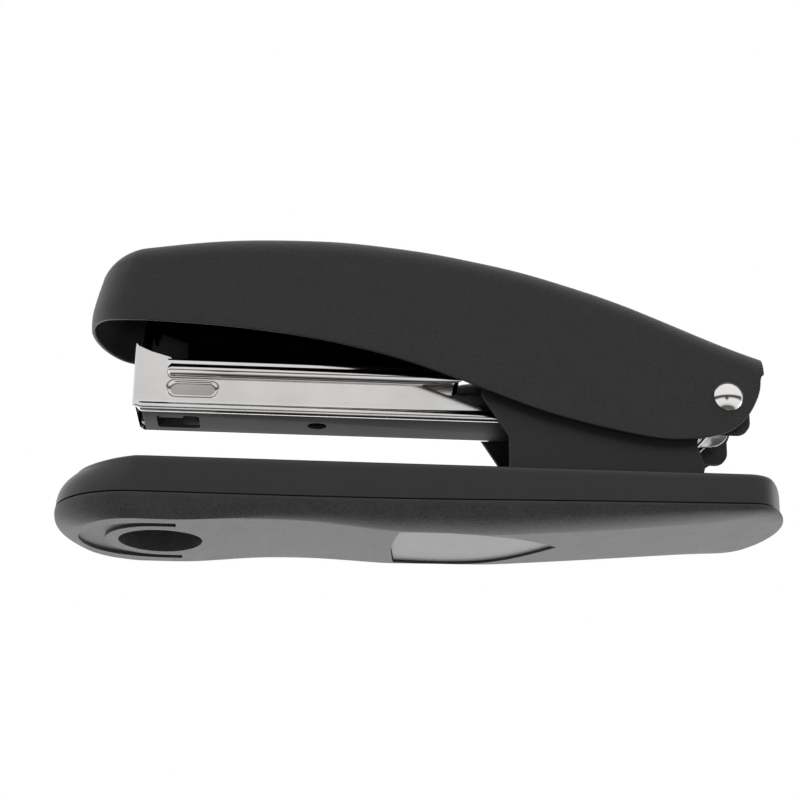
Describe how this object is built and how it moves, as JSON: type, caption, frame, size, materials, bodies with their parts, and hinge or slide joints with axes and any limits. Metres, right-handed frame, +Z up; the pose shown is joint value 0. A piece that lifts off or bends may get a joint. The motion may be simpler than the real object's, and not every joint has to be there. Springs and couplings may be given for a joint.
{
  "type": "stapler",
  "caption": "Desk stapler with a curved black handle over a bright steel magazine, hinged at the rear to a long base with a turning anvil.",
  "frame": {"origin": "centre of the outline on the table surface the sole rests on", "axes": "+X from nose to hinge, +Y across, +Z up"},
  "size_m": [0.1572, 0.036, 0.0668],
  "materials": {
    "sole_plastic": "grained, matt",
    "band_plastic": "satin, nearly smooth",
    "handle_plastic": "fine grain, matt",
    "panel_grey": "satin",
    "black_steel": "black painted sheet",
    "bright_steel": "bright nickel plate",
    "rail_steel": "bright nickel plate",
    "plain_steel": "plain drawn or pressed steel",
    "anvil_steel": "bright nickel plate",
    "spring_steel": "spring wire and strip",
    "pin_steel": "polished nickel plate",
    "black_plastic_inner": "plain moulded"
  },
  "bodies": {
    "base": {"base_sole": "sole_plastic", "base_top": "band_plastic", "label_panel": "panel_grey", "hinge_bracket": "black_steel", "bracket_rivets": "plain_steel", "pivot_pin": "pin_steel", "lift_spring": "spring_steel", "anvil_spring": "spring_steel"},
    "anvil_lifter": {"anvil_washer": "plain_steel"},
    "anvil": {"anvil_plate": "anvil_steel", "anvil_button": "plain_steel"},
    "magazine": {"magazine_shell": "bright_steel", "staple_track": "plain_steel", "track_rivets": "plain_steel", "guide_rod": "plain_steel", "rod_holder": "black_plastic_inner", "pusher_spring": "spring_steel"},
    "pusher": {"pusher": "black_plastic_inner"},
    "rail": {"cover_rail": "rail_steel"},
    "handle": {"handle_cover": "handle_plastic", "press_arm": "black_steel", "driver_blade": "plain_steel", "driver_rivets": "plain_steel", "return_spring": "spring_steel", "spring_rivet": "plain_steel"}
  },
  "joints": [
    {"name": "magazine_press", "type": "hinge", "parent": "base", "child": "magazine", "pos_m": [0.0653, 0, 0.032], "axis": [0, 1, 0], "range_deg": [-5, 0], "stiffness_Nm_per_rad": 1.5, "springref_deg": 17.19, "deforming": ["lift_spring"]},
    {"name": "cover_open", "type": "hinge", "parent": "magazine", "child": "rail", "pos_m": [0.0653, 0, 0.032], "axis": [0, 1, 0], "range_deg": [0, 75]},
    {"name": "handle_press", "type": "hinge", "parent": "rail", "child": "handle", "pos_m": [0.0653, 0, 0.032], "axis": [0, 1, 0], "range_deg": [-3.9, 0], "stiffness_Nm_per_rad": 1.5, "springref_deg": 14.32, "deforming": ["return_spring"]},
    {"name": "pusher_slide", "type": "slide", "parent": "magazine", "child": "pusher", "axis": [1, 0, 0], "range_m": [0, 0.052], "stiffness_N_per_m": 20, "springref_m": -0.03, "deforming": ["pusher_spring"]},
    {"name": "anvil_lift", "type": "slide", "parent": "base", "child": "anvil_lifter", "axis": [0, 0, 1], "range_m": [0, 0.0024], "stiffness_N_per_m": 300, "springref_m": -0.004, "deforming": ["anvil_spring"]},
    {"name": "anvil_turn", "type": "hinge", "parent": "anvil_lifter", "child": "anvil", "pos_m": [-0.0558, 0, 0.014], "axis": [0, 0, 1], "continuous": true}
  ]
}
